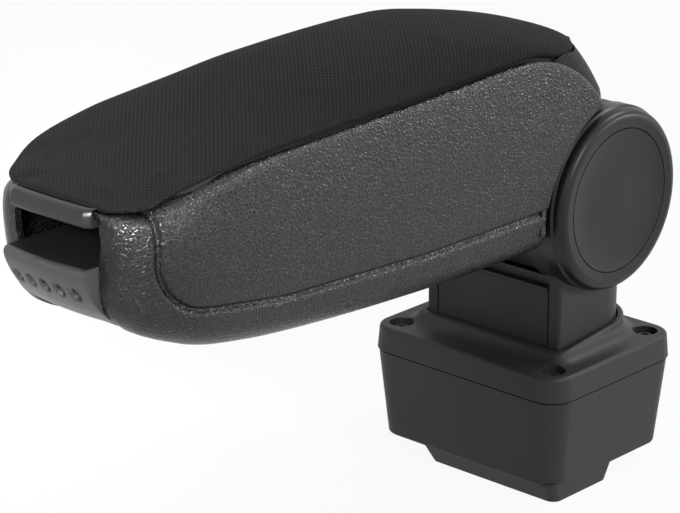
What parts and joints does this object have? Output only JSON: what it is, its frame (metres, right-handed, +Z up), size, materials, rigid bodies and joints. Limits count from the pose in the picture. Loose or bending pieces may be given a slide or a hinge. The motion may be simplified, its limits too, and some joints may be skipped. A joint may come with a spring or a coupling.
{
  "type": "car centre armrest",
  "caption": "Folding centre armrest for a car: grained arm with a storage tray, padded fabric lid with a grip, round hinge caps, and a post on a plug that drops into the console.",
  "frame": {"origin": "on the floor of the plug's lower block, in the arm's middle plane, under the middle of the flange", "axes": "+Z up out of the console, -Y along the arm towards its front, +X to the right of someone who looks along +Y at the arm's front"},
  "size_m": [0.11, 0.335, 0.2183],
  "materials": {
    "base_plastic": "matt charcoal, fine grain",
    "cap_plastic": "smooth satin charcoal",
    "grained_shell": "black leather grain, semi-gloss",
    "trim_plastic": "satin dark grey",
    "tray_plastic": "matt black",
    "pad_fabric": "black woven fabric over foam",
    "black_screw": "black oxide",
    "zinc_steel": "zinc plated",
    "nylon": "natural nylon",
    "rubber": "matt black"
  },
  "bodies": {
    "base": {"insert_box": "base_plastic", "base_flange": "base_plastic", "base_screws": "black_screw", "post_body": "base_plastic", "post_front_panel": "base_plastic", "post_screws": "black_screw", "hinge_cap_right": "cap_plastic", "hinge_cap_left": "cap_plastic", "cap_disc_right": "cap_plastic", "cap_disc_left": "cap_plastic", "hinge_bolt": "zinc_steel", "hinge_nut": "zinc_steel", "hinge_washers": "zinc_steel", "thrust_washers": "nylon"},
    "arm": {"arm_shell": "grained_shell", "hinge_knuckle": "base_plastic", "knuckle_bushes": "nylon", "knuckle_screws": "black_screw", "storage_tray": "tray_plastic", "tray_screws": "black_screw", "front_panel": "trim_plastic", "front_panel_screws": "black_screw", "rear_cover": "grained_shell", "lid_hinge_pin": "zinc_steel"},
    "lid": {"lid_base": "tray_plastic", "lid_cushion": "pad_fabric", "lid_grip": "trim_plastic", "grip_screws": "black_screw", "lid_bumpers": "rubber"}
  },
  "joints": [
    {"name": "arm_tilt", "type": "hinge", "parent": "base", "child": "arm", "pos_m": [0, 0.0028, 0.1323], "axis": [-1, 0, 0], "range_deg": [0, 90]},
    {"name": "lid_hinge", "type": "hinge", "parent": "arm", "child": "lid", "pos_m": [0, 0.0058, 0.1968], "axis": [-1, 0, 0], "range_deg": [0, 85]}
  ]
}
